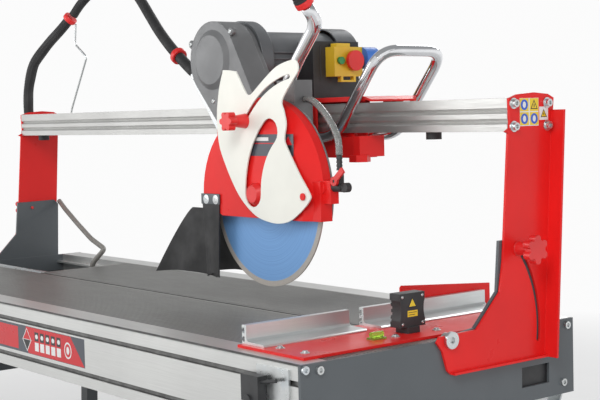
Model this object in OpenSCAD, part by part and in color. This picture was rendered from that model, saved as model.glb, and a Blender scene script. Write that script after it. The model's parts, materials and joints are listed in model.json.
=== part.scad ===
// Bridge-type wet tile saw: a long table in an aluminium chassis on folding legs,
// a tilting bridge rail on two columns, and a sliding head with a plunging blade.
// Modules draw in the table's frame: X from the middle of the chassis, Y from the
// cutting line towards the back, Z from the table's surface. placed() moves that frame
// onto the floor. Head parts draw from the blade's centre, inside at_head().

/* [Chassis] */
// Length of the chassis along the cut
chassis_len = 1872; // [1860:2:1890]
// Height of the table's surface above the floor
table_h = 790; // [780:5:800]
// Chassis in front of the cutting line
front_d = 325; // [322:1:326]
// Depth of the two long profiles
profile_d = 60; // [58:1:60]
// Height of the two long profiles
profile_h = 135; // [132:1:138]
// Thickness of the steel end plates
end_t = 6; // [5:1:6]

/* [Table] */
// Width of the blade slot
slot_w = 8; // [8:1:10]
// Thickness of the ribbed table slabs
slab_t = 18; // [16:1:20]
// Distance between two ribs
rib_pitch = 8; // [7:1:12]
// Left end of the back slab, where the open trough starts
trough_x = -556; // [-570:2:-540]

/* [Bridge] */
// Depth of the rail, front to back
rail_d = 120; // [118:1:120]
// Height of the rail
rail_h = 60; // [58:1:60]
// Underside of the rail above the table
rail_z = 353; // [352:1:354]
// Thickness of the red column sheets
column_t = 5; // [4:1:6]
// Radius of the tilt slot round the bridge's pivot
tilt_r = 228; // [226:1:230]
// Radius of the bridge's two pivot pins
pivot_r = 12; // [10:1:13]

/* [Head] */
// Radius of the blade
blade_r = 175; // [170:1:176]
// Thickness of the blade
blade_t = 3; // [2:0.5:4]
// Blade centre from the middle of the chassis, head at rest
head_x = 436; // [430:1:440]
// Blade centre above the table, head raised
blade_z = 225; // [224:1:230]
// Motor axis from the blade's centre, along X
motor_x = -220; // [-222:1:-218]
// Motor axis above the blade's centre
motor_z = 289; // [288:1:291]
// Radius of the motor's body
motor_r = 68; // [64:1:69]
// Outside radius of the blade guard
guard_r = 190; // [188:1:192]

/* [Legs] */
// Radius of the transport wheels
wheel_r = 60; // [55:1:60]
// Width of the square leg tubes
leg_w = 35; // [32:1:36]

/* [Hidden] */

$fn = 48;
gap = 0.05;            // radial clearance of running fits
cut_y = -19.5;          // cutting line from the middle of the footprint
back_d = front_d + 6;  // chassis behind the cutting line
end_x = chassis_len / 2;
profile_x = end_x - end_t;
rail_y = 158;          // rail's front face
rail_top = rail_z + rail_h;
pin_z = 0;             // bridge pivot, on the cutting line at the table's surface

red = "#c8201e";
zinc = "#b9bcbc";
alu = "#a9aba9";
dark_grey = "#4a4f55";
cast_grey = "#7b7d80";
black = "#1d1e20";
cream = "#e9e4d2";

module placed() { translate([0, cut_y, table_h]) children(); }
module at_head() { translate([head_x, 0, blade_z]) children(); }
module at_motor() { translate([motor_x, 0, motor_z]) children(); }
module both_ends() {
    children();
    mirror([1, 0, 0]) children();
}

// Extrusions: a (Y, Z) outline along X, and an (X, Z) outline along Y
module along_x(x0, len) { translate([x0, 0, 0]) rotate([90, 0, 90]) linear_extrude(len) children(); }
module along_y(y0, len) {
    translate([0, y0 + len, 0]) rotate([90, 0, 0]) linear_extrude(len) children();
}
module rod_x(x0, len, r) { translate([x0, 0, 0]) rotate([0, 90, 0]) cylinder(len, r = r); }
module rod_y(y0, len, r) { translate([0, y0, 0]) rotate([-90, 0, 0]) cylinder(len, r = r); }
module cone_y(y0, len, r1, r2) {
    translate([0, y0, 0]) rotate([-90, 0, 0]) cylinder(len, r1 = r1, r2 = r2);
}
module block(p, q) { translate(p) cube(q - p); }
module rect(p, q) { translate(p) square(q - p); }

// Outline of a bar with round ends, each of its own radius
module bar2d(a, ra, b, rb) {
    d = norm(b - a);
    turn = atan2(b[1] - a[1], b[0] - a[0]);
    lean = acos((ra - rb) / d);
    function rim(c, r, s) = c + r * [cos(turn + s * lean), sin(turn + s * lean)];
    translate(a) circle(ra);
    translate(b) circle(rb);
    polygon([rim(a, ra, 1), rim(b, rb, 1), rim(b, rb, -1), rim(a, ra, -1)]);
}

// Slot of constant width along an arc round the origin
module arc_slot2d(r, w, from, to) {
    steps = 24;
    turn = (to - from) / steps;
    function ring(radius) = [for (i = [0:steps]) radius * [cos(from + i * turn), sin(from + i * turn)]];
    inner = ring(r - w / 2);
    function cap(a, start) = [for (i = [1:7])
        r * [cos(a), sin(a)] + w / 2 * [cos(start + 22.5 * i), sin(start + 22.5 * i)]];
    polygon(concat(ring(r + w / 2), cap(to, to), [for (i = [steps:-1:0]) inner[i]], cap(from, from + 180)));
}

// Closed smooth curve through a few points
function spline_point(a, b, c, d, t) =
    0.5 * (2 * b + (c - a) * t + (2 * a - 5 * b + 4 * c - d) * t * t + (3 * b - a - 3 * c + d) * t * t * t);
function smooth_loop(p, n) = [
    for (i = [0:len(p) - 1]) for (j = [0:n - 1])
        let (k = len(p)) spline_point(p[(i + k - 1) % k], p[i], p[(i + 1) % k], p[(i + 2) % k], j / n)
];

// Open path with its corners rounded off over the length d
function unit(v) = v / norm(v);
function rounded(p, d, n = 4) = concat(
    [p[0]],
    [for (i = [1:len(p) - 2]) for (j = [0:n])
        let (t = j / n, a = p[i] + d * unit(p[i - 1] - p[i]), b = p[i] + d * unit(p[i + 1] - p[i]))
            (1 - t) * (1 - t) * a + 2 * t * (1 - t) * p[i] + t * t * b],
    [p[len(p) - 1]]);

// Tube along a path. side is any direction that the path never runs in.
module tube(path, r, side, sides = 10) {
    last = len(path) - 1;
    function heading(i) = unit(path[min(i + 1, last)] - path[max(i - 1, 0)]);
    rings = [for (i = [0:last])
        let (t = heading(i), u = unit(cross(side, t)), v = cross(t, u))
            for (k = [0:sides - 1]) path[i] + r * (u * cos(360 * k / sides) + v * sin(360 * k / sides))];
    walls = [for (i = [0:last - 1]) for (k = [0:sides - 1])
        let (a = i * sides + k, b = i * sides + (k + 1) % sides)
            [a, a + sides, b + sides, b]];
    polyhedron(rings, concat(walls,
        [[for (k = [0:sides - 1]) k], [for (k = [sides - 1:-1:0]) last * sides + k]]));
}

// ---------------------------------------------------------------- chassis

module profile_section() {
    f = -front_d;
    b = f + profile_d;
    difference() {
        polygon([
            [f, -4], [f + 4, 0], [b, 0], [b, -slab_t], [b + 20, -slab_t], [b + 20, -slab_t - 5],
            [b, -slab_t - 5], [b, 4 - profile_h], [b + 20, 4 - profile_h], [b + 20, -profile_h],
            [f, -profile_h], [f, -114], [f + 5, -112], [f + 5, -106], [f, -104],
            [f, -36], [f + 5, -34], [f + 5, -28], [f, -26]
        ]);
        rect([f + 9, 5 - profile_h], [b - 4, -60]);
        rect([f + 9, -54], [b - 4, -5]);
    }
}

module front_profile() {
    color(alu) along_x(-profile_x, 2 * profile_x) profile_section();
}

module back_profile() {
    color(alu) translate([0, back_d - front_d, 0]) mirror([0, 1, 0])
        along_x(-profile_x, 2 * profile_x) profile_section();
}

module end_plate_outline() {
    difference() {
        union() {
            rect([-front_d, -profile_h - 5], [back_d, 0]);
            polygon([[-40, 0], [66, 12], [125, 70], [133, 160], [250, 162], [262, 150], [256, 0]]);
        }
        rect([188, -113], [262, -76]);
        translate([0, pin_z]) circle(pivot_r);
        translate([0, pin_z]) rotate(39) translate([tilt_r, 0]) circle(4 + gap);
        for (p = bolt_places) translate(p) circle(4);
    }
}
bolt_places = [[-317, -8], [-287, -12], [280, -12], [312, -12], [300, -118], [-300, -118]];

module end_plate_right() { color(dark_grey) along_x(profile_x, end_t) end_plate_outline(); }
module end_plate_left() { mirror([1, 0, 0]) end_plate_right(); }

module chassis_bolts() {
    color(zinc) both_ends() for (p = bolt_places) translate([0, p[0], p[1]]) {
        rod_x(profile_x, end_t, 4);
        difference() {
            rod_x(end_x, 5, 7);
            translate([end_x + 2, 0, 0]) rotate([0, 90, 0]) cylinder(4, r = 4, $fn = 6);
        }
    }
}

module pivot_pins() {
    color(black) both_ends() translate([0, 0, pin_z]) difference() {
        union() {
            rod_x(profile_x, end_t + column_t + 2, pivot_r);
            rod_x(end_x + column_t + 2, 6, pivot_r + 3);
        }
        translate([end_x + column_t + 4, 0, 0]) rotate([0, 90, 0]) cylinder(5, r = 6, $fn = 6);
    }
}

// Ribbed slab between y0 and y1; web_y places its webs, lean cuts the slot side back
module slab_section(y0, y1, lean0, lean1) {
    ribs = floor((y1 - y0 - 4) / rib_pitch);
    top = [for (i = [0:ribs - 1]) let (y = y1 - 4 - i * rib_pitch)
        each [[y, 0], [y - rib_pitch / 2, 0], [y - rib_pitch / 2, -1.2], [y - rib_pitch, -1.2]]];
    cells = 5;
    cell = (y1 - y0 - lean0 - lean1 - 5) / cells;
    difference() {
        polygon(concat([
            [y0, 0], [y0, -1], [y0 + lean0, -slab_t], [y1 - lean1, -slab_t], [y1, -1], [y1, 0]
        ], top));
        for (i = [0:cells - 1]) translate([y0 + lean0 + 5 + i * cell, 0])
            rect([0, -slab_t], [cell - 5, -6]);
    }
}

module table_front() {
    color(alu) along_x(-profile_x + 2, 2 * profile_x - 4)
        slab_section(-front_d + profile_d + 0.5, -slot_w / 2, 0, 0);
}

module table_back() {
    color(alu) along_x(trough_x, profile_x - 2 - trough_x)
        slab_section(slot_w / 2, back_d - profile_d - 0.5, slab_t, 0);
}

module trough_bar() {
    len = profile_x + trough_x;
    color(zinc) translate([0, 24, -16]) {
        rod_x(-profile_x, len - 0.5, 16);
        block([-profile_x, -16, -slab_t + 2], [-profile_x + len - 0.5, 16, 0]);
    }
}

module water_tank() {
    y0 = -front_d + profile_d + 3;
    y1 = back_d - profile_d - 3;
    x1 = profile_x - 2;
    floor_z = 4 - profile_h;
    color(black) difference() {
        block([-x1, y0, floor_z], [x1, y1, -45]);
        block([4 - x1, y0 + 4, floor_z + 4], [x1 - 4, y1 - 4, -44]);
        translate([drain_at[0], drain_at[1], floor_z - 1]) cylinder(6, r = 12);
    }
}
drain_at = [-780, -120];

module drain_plug() {
    color(red) translate([drain_at[0], drain_at[1], -profile_h - 6]) {
        cylinder(14, r = 12);
        cylinder(10, r = 17, $fn = 6);
    }
}

pump_at = [-650, 205];
module pump() {
    color(black) translate([pump_at[0], pump_at[1], 8 - profile_h]) {
        block([-45, -35, 0], [45, 35, 10]);
        translate([0, 0, 10]) cylinder(60, r = 32);
        translate([0, 0, 70]) cylinder(22, r = 9);
        for (i = [0:7]) rotate(45 * i) block([30, -3, 10], [36, 3, 58]);
    }
}

// Pump hose: up out of the trough, over a hard elbow, to the left column's back edge
pump_route = [[-650, 205, -34], [-640, 205, 0], [-600, 222, 40], [-690, 232, 62],
    [-790, 245, 100], [-880, 256, 138], [-922, 262, 158]];
module pump_hose() { color("#8d8b83") tube(rounded(pump_route, 14), 7, [0.2, 1, 0]); }

module fence_base() {
    color(red) difference() {
        block([728, -295, 0], [908, 262, 5]);
        for (p = fence_bolts) translate([p[0], p[1], -1]) cylinder(8, r = 3);
    }
    color(zinc) for (p = fence_bolts) translate([p[0], p[1], 0]) {
        cylinder(5, r = 3);
        translate([0, 0, 5]) cylinder(1.5, r = 8);
        translate([0, 0, 6.5]) cylinder(3, r1 = 6, r2 = 4);
    }
}
fence_bolts = [[812, -268], [878, -268], [872, -62], [874, 35]];

module fence_section() {
    difference() {
        polygon([[0, 0], [62, 0], [62, 2], [58, 4], [16, 5], [12, 9], [12, 33], [0, 33]]);
        for (z = [4, 19]) {
            rect([-1, z + 2], [2, z + 7]);
            rect([2, z], [7, z + 9]);
        }
    }
}

module front_fence() {
    color(alu) difference() {
        translate([728, 0, 5]) along_y(-285, 232) fence_section();
        translate([0, -53, 9]) rotate([-45, 0, 0]) block([700, 0, -30], [800, 80, 60]);
    }
}

module back_fence() {
    color(alu) translate([728, 0, 5]) along_y(-19, 320) fence_section();
}

module fence_bracket() {
    color(red) {
        translate([722, 0, 0]) rotate([90, 0, 90]) linear_extrude(4)
            polygon([[88, 1], [330, 1], [330, 48], [92, 66], [88, 62]]);
        block([690, 100, 1], [722, 262, 5]);
    }
}

module spirit_level() {
    color(zinc) block([853, -112, 5], [871, -82, 8]);
    color("#a8d830") translate([862, 0, 13]) rod_y(-110, 26, 5);
}

module laser_module() {
    color(black) translate([850, -12, 0]) {
        block([-16, -14, 5], [16, 14, 16]);
        difference() {
            block([-13, -30, 16], [13, 30, 76]);
            for (s = [-1, 1]) translate([-14, s * 80, 46]) rotate([0, 90, 0]) cylinder(28, r = 53, $fn = 64);
            for (i = [0:3]) block([-14, -31, 26 + i * 11], [-10, 31, 31 + i * 11]);
        }
    }
}

// ---------------------------------------------------------------- legs

leg_pivot = [860, -200];   // X from the middle, Z below the table
leg_splay = 4;
leg_y = [-306, 312];       // middle of the front and back leg tubes
leg_len = table_h + leg_pivot[1];

module leg_brackets() {
    sheets = [-front_d - 4, leg_y[0] + leg_w / 2 + 1.5, leg_y[1] - leg_w / 2 - 5.5, back_d];
    color(zinc) both_ends() for (y = sheets)
        difference() {
            along_y(y, 4) polygon([
                [leg_pivot[0] - 34, y < -front_d || y > back_d - 1 ? -10 : -profile_h],
                [leg_pivot[0] + 50, y < -front_d || y > back_d - 1 ? -10 : -profile_h],
                [leg_pivot[0] + 50, -profile_h], [leg_pivot[0] + 24, leg_pivot[1] - 22],
                [leg_pivot[0] - 24, leg_pivot[1] - 22], [leg_pivot[0] - 34, -profile_h]]);
            translate([leg_pivot[0], 0, leg_pivot[1]]) rod_y(y - 1, 6, 6 + gap);
        }
}

module leg_latches() {
    color(black) both_ends() translate([826, -front_d, -48]) {
        block([-20, -22, -22], [26, -4.5, 22]);
        translate([0, 0, -18]) rod_y(-26, 4, 8);
        translate([22, -14, 12]) rotate([0, 80, 0]) cylinder(44, r = 3);
    }
}

module leg_tube(y, len) {
    translate([0, y, 0]) difference() {
        block([-leg_w / 2, -leg_w / 2, -len], [leg_w / 2, leg_w / 2, leg_w / 2]);
        block([3 - leg_w / 2, 3 - leg_w / 2, -len - 1], [leg_w / 2 - 3, leg_w / 2 - 3, leg_w / 2 - 3]);
    }
    for (s = [-1, 1]) translate([0, y + s * leg_w / 2, 0]) rod_y(s > 0 ? 0 : -5, 5, 6);
}

module leg_frame(len) {
    translate([leg_pivot[0], 0, leg_pivot[1]]) rotate([0, -leg_splay, 0]) {
        for (y = leg_y) leg_tube(y, len);
        for (z = [-90, 70 - len])
            block([-12, leg_y[0] + leg_w / 2, z - 12], [12, leg_y[1] - leg_w / 2, z + 12]);
        children();
    }
}

foot_len = leg_len / cos(leg_splay) - 14;
module leg_right() { color("#303338") leg_frame(foot_len); }

module feet() {
    color(black) for (y = leg_y)
        translate([leg_pivot[0] + leg_len * tan(leg_splay), y, -table_h]) difference() {
            block([-26, -24, 0], [26, 24, 30]);
            translate([0, 0, 14 - leg_w / 2 * sin(leg_splay)]) rotate([0, -leg_splay, 0])
                block([-leg_w / 2, -leg_w / 2, 0], [leg_w / 2, leg_w / 2, 40]);
        }
}

wheel_leg = (leg_len - wheel_r) / cos(leg_splay);
module leg_left() {
    color("#303338") mirror([1, 0, 0]) leg_frame(wheel_leg + 20) for (y = leg_y)
        translate([0, 0, -wheel_leg]) rod_y(y - 50, 100, 8);
}

module wheels() {
    x = -leg_pivot[0] - (leg_len - wheel_r) * tan(leg_splay);
    for (i = [0, 1]) translate([x, leg_y[i] + (i == 0 ? -1 : 1) * (leg_w / 2 + 17), wheel_r - table_h]) {
        color(black) difference() {
            rod_y(-14, 28, wheel_r);
            rod_y(-15, 30, wheel_r - 16);
        }
        color(red) difference() {
            rod_y(-11, 22, wheel_r - 16);
            rod_y(-15, 30, 8 + gap);
            for (a = [0:60:300]) rotate([0, a, 0]) translate([26, 0, 0]) rod_y(-15, 30, 9);
        }
    }
}

// ---------------------------------------------------------------- bridge

column_outline = [[158, 412], [160, 360], [147, 353], [155, 350], [137, 126], [127, 69],
    [67, 10], [-24, 8], [-31, -2], [-18, -18], [-12, -36], [-6, -54], [2, -61], [248, -61],
    [276, 390], [278, 412], [262, 419], [225, 422], [180, 419]];

module column_right() {
    color(red) difference() {
        union() {
            along_x(end_x + 1, column_t) polygon(column_outline);
            hull() for (p = [[248, -61], [276, 390]]) translate([end_x + 1, p[0] - column_t, p[1]])
                cube([34, column_t, 0.1]);
            block([end_x + 1, 2, -61], [end_x + 15, 244, -57]);
        }
        translate([end_x, 0, pin_z]) {
            rod_x(-1, 20, pivot_r + gap);
            along_x(-1, 20) arc_slot2d(tilt_r, 10, -6.5, 39);
        }
        for (p = rail_bolt_places) translate([0, p[0], p[1]]) rod_x(end_x, 20, 5);
    }
}
module column_left() { mirror([1, 0, 0]) column_right(); }

module rail_section() {
    y1 = rail_y + rail_d;
    difference() {
        rect([rail_y, rail_z], [y1, rail_top]);
        for (z = [18, 37]) for (y = [rail_y, y1])
            translate([y, rail_z + z]) rotate(45) square(7, center = true);
        rect([rail_y + 7, rail_z + 6], [rail_y + 32, rail_top - 6]);
        rect([rail_y + 36, rail_z + 4], [y1 - 36, rail_top - 4]);
        rect([y1 - 32, rail_z + 6], [y1 - 7, rail_top - 6]);
        for (y = [rail_y + 22, y1 - 22]) rect([y - 5, rail_z - 1], [y + 5, rail_z + 2]);
    }
}
module rail() { color("#b4b6b4") along_x(-end_x - 1, chassis_len + 2) rail_section(); }

rail_bolt_places = [for (y = [rail_y + 11, rail_y + rail_d - 20]) for (z = [9, 50]) [y, rail_z + z]];
module rail_bolts() {
    color(zinc) both_ends() for (p = rail_bolt_places) translate([0, p[0], p[1]]) {
        rod_x(end_x + 1, column_t, 5);
        rod_x(end_x + 1 + column_t, 2, 10);
        difference() {
            rod_x(end_x + 3 + column_t, 7, 7);
            translate([end_x + 6 + column_t, 0, 0]) rotate([0, 90, 0]) cylinder(5, r = 4, $fn = 6);
        }
    }
}

bumper_x = [-846, 729];
module rail_bumpers() {
    color(black) for (x = bumper_x) translate([x, rail_y + 22, rail_z - 14]) {
        cylinder(14, r = 15);
        translate([0, 0, 14]) cylinder(2, r = 4.5);
    }
}

hanger_path = [[-872, 285, 370], [-872, 285, 420], [-771, 285, 571], [-835, 285, 611], [-823, 283, 668]];
module hose_hanger() {
    color(zinc) {
        tube(rounded(hanger_path, 10), 3, [0, 1, 0], 8);
        block([-884, rail_y + rail_d, 366], [-860, rail_y + rail_d + 4.5, 400]);
    }
    color(red) translate([-836, 268, 679]) rotate([-20, 45, 0]) difference() {
        cylinder(12, r = 19);
        translate([0, 0, -1]) cylinder(14, r = 15);
    }
}

conduit_r = 14;
lower_route = [[-962, 225, 180], [-962, 215, 260], [-966, 205, 340], [-973, 200, 419],
    [-973, 203, 488], [-951, 212, 560], [-903, 238, 618], [-865, 256, 652], [-832, 270, 683]];
module conduit_lower() {
    color(black) {
        tube(rounded(lower_route, 18, 3), conduit_r, [0, 1, 0.1]);
        for (z = [200, 300]) block([-952, 205 - (z - 200) / 12, z], [-942, 240 - (z - 200) / 12, z + 14]);
    }
}

// Star knob along +Z: hub from 0, star head of the given radius and thickness at z
module star_knob(lobes, r, head_z, head_t, hub_r) {
    cylinder(head_z, r1 = hub_r, r2 = hub_r * 0.7);
    translate([0, 0, head_z]) {
        cylinder(head_t, r = r * 0.72);
        for (i = [0:lobes - 1]) rotate(360 * i / lobes)
            translate([r * 0.72, 0, 0]) cylinder(head_t, r = r * 0.28);
    }
}

module tilt_knob_right() {
    a = 39;
    translate([0, tilt_r * cos(a), pin_z + tilt_r * sin(a)]) {
        color(zinc) {
            rod_x(profile_x - 3, end_t + column_t + 6, 4);
            rod_x(end_x + 1 + column_t + 0.3, 2, 14);
        }
        color(red) translate([end_x + column_t + 3.3, 0, 0]) rotate([0, 90, 0]) star_knob(6, 26, 29, 15, 13);
    }
}
module tilt_knob_left() { mirror([1, 0, 0]) tilt_knob_right(); }

// ---------------------------------------------------------------- carriage

carriage_x = [59, 566];
module carriage_frame() {
    x0 = carriage_x[0];
    x1 = carriage_x[1];
    front_x1 = 416;
    back = rail_y + rail_d + 6;
    color(red) {
        // tray over the rail
        block([x0, rail_y - 12, rail_top + 8], [x1, back + 6, rail_top + 13]);
        block([x0, back, rail_top + 4], [x1, back + 6, rail_top + 8]);
        block([x0, rail_y - 12, rail_top + 3], [x1, rail_y - 6, rail_top + 8]);
        hull() {
            block([x1 - 1, rail_y - 12, rail_top + 8], [x1, back + 6, rail_top + 13]);
            block([x1 + 12, rail_y - 2, rail_top + 2], [x1 + 14, back - 6, rail_top + 6]);
        }
        // plate in front of the rail and behind it
        block([x0, rail_y - 12, rail_z - 10], [front_x1, rail_y - 6, rail_top + 8]);
        block([x0 + 40, back, rail_z - 10], [front_x1, back + 6, rail_top + 8]);
        // beam under the rail
        difference() {
            block([x0, rail_y - 15.5, rail_z - 50], [x1 - 20, rail_y + 40, rail_z - 8]);
            block([x0 - 1, rail_y - 12, rail_z - 45], [x1 - 28, rail_y + 34, rail_z - 30]);
        }
        block([x1 - 20, rail_y - 24, rail_z - 48], [x1, rail_y + 42, rail_z - 6]);
        translate([x1 - 14, rail_y - 12, rail_z - 58]) cylinder(14, r = 22, $fn = 6);
    }
    color(black) {
        for (x = [x0 + 30, x1 - 60]) for (y = [rail_y + 4, rail_y + rail_d - 24])
            block([x, y, rail_top + 0.3], [x + 40, y + 20, rail_top + 8]);
        for (x = [x0 + 120, x1 - 90])
            block([x, rail_y + 4, rail_z - 8], [x + 40, rail_y + 14, rail_z - 0.3]);
    }
}

loop_side = [-0.75, 0.1, 0.66];
loop_path = [[300, rail_y - 27, 345], [496, rail_y - 27, 345], [636, rail_y - 27, 513],
    [636, rail_y + rail_d + 24, 513], [496, rail_y + rail_d + 24, 345], [300, rail_y + rail_d + 24, 345]];
module loop_handle() {
    color("#c9ccce") {
        tube(rounded(loop_path, 42, 6), 11, loop_side, 12);
        for (y = [rail_y - 16, rail_y + rail_d + 12]) block([310, y, rail_z - 7.5], [334, y + 4, rail_z - 1]);
    }
}

module hose_arm() {
    at_head() color(zinc) {
        along_y(118, 4) bar2d([-334, 148], 9, [-426, 261], 9);
        along_y(118, 4) rect([-426, 255], [-299, 265]);
        translate([-334, 0, 148]) rod_y(122, 24, 6);
        translate([-426, 0, 261]) rod_y(115, 3, 7);
    }
}

// Conduit between the hanger's clip and the arm's clip: as long as the carriage's travel needs
arch_route = [[-822, 276, 693], [-794, 285, 722], [-745, 290, 748], [-680, 288, 764], [-600, 275, 767],
    [-510, 250, 757], [-420, 222, 734], [-325, 190, 694], [-255, 174, 646], [-191, 160, 602],
    [-110, 142, 556], [-21, 131, 506], [16, 131, 484], [60, 132, 436], [108, 132, 376]];
module conduit_arch() {
    color(black) tube(rounded(arch_route, 16, 2), conduit_r, [0, 1, 0.1]);
    color(red) translate([-82, 138, 540]) rotate([0, 120, 0]) difference() {
        cylinder(12, r = 19);
        translate([0, 0, -1]) cylinder(14, r = 9);
    }
}

module motor() {
    at_head() at_motor() {
        color(cast_grey) difference() {
            union() {
                rod_y(86, 14, 50);
                rod_y(100, 30, 84);
                rod_y(130, 8, 76);
            }
            rod_y(85, 60, 14);
        }
        color("#5d6065") difference() {
            union() {
                rod_y(137, 191, motor_r - 6);
                for (a = [0:12:348]) if (a < 70 || (a > 140 && a < 215) || a > 345)
                    rotate([0, a, 0]) block([40, 136, -1.5], [motor_r, 327, 1.5]);
            }
            rod_y(137, 20, 14);
        }
        color("#5d6065") for (x = [-50, -10]) block([x, 150, tray_drop], [x + 24, 300, -44]);
    }
}
tray_drop = rail_top + 13 - blade_z - motor_z;

module fan_cover() {
    at_head() at_motor() color("#63666b") difference() {
        union() {
            rod_y(328, 58, motor_r + 4);
            cone_y(386, 9, motor_r + 4, motor_r - 8);
        }
        rod_y(327, 56, motor_r + 1);
        for (r = [18:11:51]) for (a = [0:30:330])
            rotate([0, a + r, 0]) translate([r, 0, 0]) rod_y(385, 20, 3);
    }
}

module terminal_box() {
    at_head() color("#26282b") difference() {
        block([-196, 215, rail_top + 13 - blade_z], [-108, 345, 325]);
        at_motor() rod_y(210, 118, motor_r + 0.5);
        at_motor() rod_y(327.5, 20, motor_r + 4.5);
        for (y = [232, 252]) block([-109, y, 240], [-107, y + 4, 316]);
    }
}

module switch_box() {
    at_head() color("#e8b820") {
        difference() {
            block([-108, 250, 248], [-78, 330, 312]);
            translate([-86, 300, 282]) rotate([0, 90, 0]) cylinder(9, r = 13.3);
            translate([-86, 266, 282]) rotate([0, 90, 0]) cylinder(9, r = 8.3);
        }
        block([-104, 262, 312], [-84, 300, 320]);
        block([-90, 268, 238], [-78, 274, 248]);
        block([-90, 304, 238], [-78, 310, 248]);
        block([-90, 268, 236], [-78, 310, 240]);
    }
}

module stop_button() {
    at_head() color("#cc1a1a") translate([0, 300, 282]) {
        rod_x(-77, 5, 13);
        rod_x(-72, 9, 22);
    }
}

module start_button() {
    at_head() color("#2f9a48") translate([0, 266, 282]) rod_x(-77, 6, 8);
}

module power_inlet() {
    at_head() color("#2f6fd0") translate([-83, 0, 288]) {
        difference() {
            rod_y(330, 37, 24);
            rod_y(341, 30, 20);
        }
        for (a = [60, 180, 300]) rotate([0, a, 0]) translate([11, 0, 0]) rod_y(341, 22, 3);
    }
}

// ---------------------------------------------------------------- head

cover_y = [28, 84];
module belt_cover() {
    at_head() color(cast_grey) difference() {
        union() {
            along_y(cover_y[0], cover_y[1] - cover_y[0]) bar2d([motor_x, motor_z], 82, [0, 0], 42);
            at_motor() cone_y(20, 8, 52, 64);
        }
        along_y(cover_y[0] + 3, 60) bar2d([motor_x, motor_z], 78, [0, 0], 38);
        rod_y(10, 30, 15);
    }
}

module head_arm() {
    at_head() color("#6b6d70") difference() {
        union() {
            along_y(84, 14) {
                bar2d([motor_x, motor_z], 77, [0, 0], 39);
                translate([motor_x, motor_z]) circle(78);
                circle(40);
            }
            rod_y(76, 12, 24);
            at_motor() rod_y(94, 5.5, 60);
        }
        at_motor() rod_y(80, 30, 50 + gap);
        rod_y(70, 40, 12 + gap);
    }
}

pulley_r = 30;
module drive_belt() {
    at_head() color(black) along_y(47, 14) difference() {
        bar2d([motor_x, motor_z], pulley_r + 5, [0, 0], pulley_r + 5);
        bar2d([motor_x, motor_z], pulley_r + 0.3, [0, 0], pulley_r + 0.3);
    }
}

module motor_pulley() {
    at_head() at_motor() {
        color(zinc) rod_y(40, 92, 12);
        color(cast_grey) difference() {
            union() {
                rod_y(44, 20, pulley_r);
                rod_y(44, 2.5, pulley_r + 7);
                rod_y(61.5, 2.5, pulley_r + 7);
            }
            rod_y(39, 30, 12);
        }
    }
}

module blade_spindle() {
    at_head() {
        color("#4f7fc4") difference() {
            rod_y(-blade_t / 2, blade_t, blade_r);
            rod_y(-5, 10, 12.7);
        }
        color(zinc) {
            for (s = [-1, 1]) difference() {
                rod_y(s > 0 ? blade_t / 2 : -blade_t / 2 - 5, 5, 45);
                rod_y(-12, 24, 12);
            }
            rod_y(-18, 114, 12);
            difference() {
                rod_y(-1.5, 3, 12.7);
                rod_y(-2, 4, 12);
            }
            difference() {
                translate([0, -16, 0]) rotate([-90, 0, 0]) cylinder(9, r = 19, $fn = 6);
                rod_y(-20, 20, 12);
            }
        }
        color(cast_grey) difference() {
            union() {
                rod_y(44, 20, pulley_r);
                rod_y(44, 2.5, pulley_r + 7);
                rod_y(61.5, 2.5, pulley_r + 7);
            }
            rod_y(39, 30, 12);
        }
    }
}

guard_c = [-4, 14];
guard_front = -25;
module guard_shape(r) {
    difference() {
        translate(guard_c) circle(r, $fn = 96);
        rect([-300, -300], [300, -36]);
        rect([-300, -300], [-124, -2]);
    }
}
module blade_guard() {
    at_head() color(red) difference() {
        union() {
            along_y(-6, 18) guard_shape(guard_r);
            hull() {
                along_y(-7, 1) guard_shape(guard_r);
                along_y(guard_front, 1) intersection() {
                    translate([-22, 4]) circle(168);
                    guard_shape(guard_r);
                }
            }
            along_y(-16, 28) rect([150, -36], [186, 40]);
            along_y(-8, 20) rect([160, -2], [206, 42]);
            translate([179, 0, 28]) rod_y(-12, 10, 13);
            translate([knob_at[0], 0, knob_at[1]]) rod_y(guard_front - 4, 6, 12);
            translate([plate_pivot[0], 0, plate_pivot[1]]) rod_y(guard_front - 4.5, 14, 9);
            translate([-190, 0, 18]) rod_y(-10, 20, 8);
        }
        along_y(-6, 19) intersection() {
            guard_shape(guard_r - 4);
            translate([0, 0]) circle(blade_r + 7);
        }
        along_y(guard_front + 4, 20) intersection() {
            guard_shape(guard_r - 12);
            circle(120);
        }
        translate([knob_at[0], 0, knob_at[1]]) rod_y(guard_front - 8, 24, 4 + gap);
    }
    at_head() color(zinc) translate([plate_pivot[0], 0, plate_pivot[1]]) {
        rod_y(guard_front - 9, 4.5, 4);
        rod_y(guard_front - 11, 2.5, 7);
    }
}

module guard_back_plate() {
    at_head() {
        color(cast_grey) difference() {
            union() {
                along_y(12, 3) guard_shape(guard_r + 2);
                rod_y(15, 13, 30);
            }
            rod_y(10, 20, 12 + gap);
        }
        color("#9a9c9e") {
            block([-30, 15, 140], [76, 60, 172]);
            block([20, 15, 172], [76, 60, 236]);
        }
    }
}

module arbor_cap() {
    at_head() color(red) translate([-5, 0, 12]) {
        cone_y(guard_front - 12, 9, 17, 23);
        rod_y(guard_front - 3, 3, 23);
    }
}

flap_front = [[-194, -25, -36], [-129, -25, -36], [-148, -26, -167], [-352, -48, -167]];
flap_back = [[-186, 15, 2], [-130, 15, 2], [-60, 40, -165], [-250, 56, -167]];
module flap(p) {
    hull() for (q = p) translate([q[0], q[1], q[2]]) cube([2, 3, 2]);
}
module splash_flaps() {
    at_head() {
        color(zinc) {
            block([-194, -28, -37], [-127, -25, 8]);
            for (x = [-176, -142]) translate([x, 0, -4]) rod_y(-30, 2, 8);
        }
        color(black) {
            flap(flap_front);
            flap(flap_back);
        }
    }
}

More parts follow.
